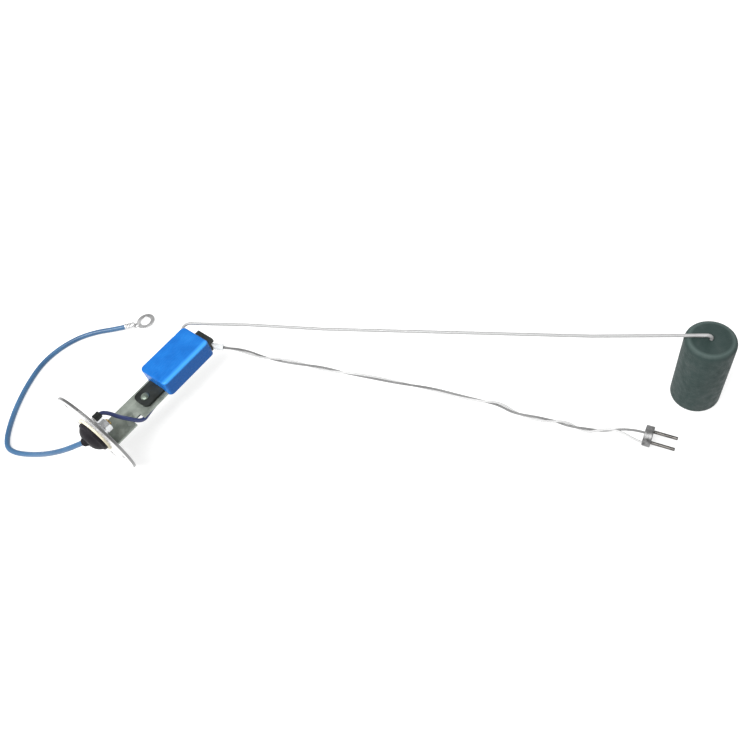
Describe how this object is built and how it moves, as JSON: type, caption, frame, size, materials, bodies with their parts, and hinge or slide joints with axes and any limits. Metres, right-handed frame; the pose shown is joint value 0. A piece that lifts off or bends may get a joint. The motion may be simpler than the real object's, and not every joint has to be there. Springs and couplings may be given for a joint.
{
  "type": "fuel level sender",
  "caption": "Flange-mounted fuel level sender: a folded bracket carries a covered rheostat, a long pivoting wire arm with a cylinder float, a supply lead and a wired probe.",
  "frame": {"origin": "centre of the flange's inner, seating face", "axes": "+X is the flange's normal into the tank, along the bracket. +Z is the pivot axis of the float arm. The whole lies as on a bench whose top is at z = -35 mm, the low point of the flange's rim."},
  "size_m": [0.322, 0.4546, 0.07],
  "materials": {
    "zinc_plate": "zinc plated",
    "cream_board": "pressed insulating board",
    "boot_rubber": "moulded rubber",
    "brass": "turned brass",
    "tinned": "tinned",
    "bright_steel": "bright zinc",
    "galvanised_strip": "galvanised strip",
    "dark_rivet": "blackened",
    "black_moulding": "moulded",
    "rivet_steel": "plated",
    "blue_moulding": "glossy moulding",
    "brown_board": "resin board",
    "winding_wire": "bare wire",
    "spring_brass": "rolled",
    "navy_lead": "soft covering",
    "bright_wire": "drawn wire",
    "float_foam": "closed-cell foam with a skin",
    "blue_lead": "soft covering",
    "clear_sleeve": "soft translucent",
    "grey_lead": "soft covering",
    "probe_metal": "plated",
    "probe_resin": "cast resin",
    "prong_metal": "plated"
  },
  "bodies": {
    "sender_base": {"flange_plate": "zinc_plate", "outer_insulator": "cream_board", "terminal_boot": "boot_rubber", "terminal_stud": "brass", "lead_eyelet": "tinned", "insulating_bush": "cream_board", "inner_insulator": "cream_board", "stud_washer": "bright_steel", "inner_tag": "tinned", "tag_sleeve": "black_moulding", "stud_nut": "bright_steel", "bracket": "galvanised_strip", "foot_rivets": "dark_rivet", "carrier": "black_moulding", "carrier_rivets": "rivet_steel", "cover": "blue_moulding", "resistor_card": "brown_board", "resistance_winding": "winding_wire", "pivot_pin": "bright_steel", "pivot_clip": "dark_rivet", "inner_lead": "navy_lead", "lead": "blue_lead", "ring_terminal": "tinned", "pair_sleeve": "clear_sleeve", "reserve_pair": "grey_lead", "probe_collar": "probe_metal", "probe_insulator": "probe_resin", "probe_prongs": "prong_metal"},
    "arm_body": {"rotor": "black_moulding", "wiper": "spring_brass", "float_arm": "bright_wire", "float_retainer": "bright_steel"},
    "float_body": {"float": "float_foam"}
  },
  "joints": [
    {"name": "arm_swing", "type": "hinge", "parent": "sender_base", "child": "arm_body", "pos_m": [0.084, 0.0025, -0.0035], "axis": [0, 0, 1], "range_deg": [0, 80]},
    {"name": "float_spin", "type": "hinge", "parent": "arm_body", "child": "float_body", "pos_m": [0.2595, -0.3138, 0], "axis": [0, 0, 1], "continuous": true}
  ]
}
